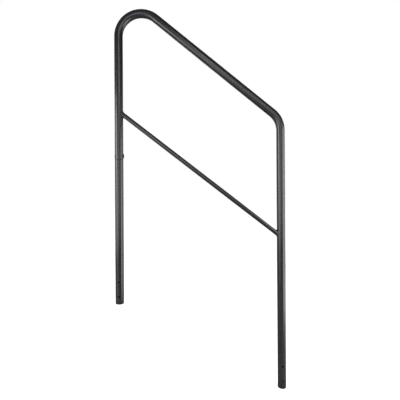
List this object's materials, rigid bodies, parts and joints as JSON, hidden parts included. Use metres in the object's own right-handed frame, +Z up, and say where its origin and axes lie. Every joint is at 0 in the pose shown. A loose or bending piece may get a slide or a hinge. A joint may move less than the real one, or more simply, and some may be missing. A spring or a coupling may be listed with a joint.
{
  "type": "pool handrail",
  "caption": "Sloping round-tube handrail on two legs of different length, with a thinner brace under the rail and fixing holes through each foot.",
  "frame": {"origin": "on the lower-step leg's axis, midway between the two fixing holes at its foot", "axes": "+X from the upper-step leg towards the lower-step leg, +Y across the rail, along the fixing holes, +Z up along the legs"},
  "size_m": [0.6424, 0.0318, 1.4272],
  "materials": {
    "powder_coat": "satin dark grey powder coat with a fine texture",
    "fastener": "black oxide, satin",
    "plastic": "moulded black plastic, fine matte grain"
  },
  "bodies": {
    "root": {"rail_tube": "powder_coat", "upper_leg_tube": "powder_coat", "cross_brace": "powder_coat", "upper_brace_weld": "powder_coat", "lower_brace_weld": "powder_coat", "joint_bolt": "fastener", "joint_saddle_washer": "plastic", "joint_sleeve_nut": "fastener", "upper_foot_plug": "plastic", "lower_foot_plug": "plastic"}
  },
  "joints": []
}
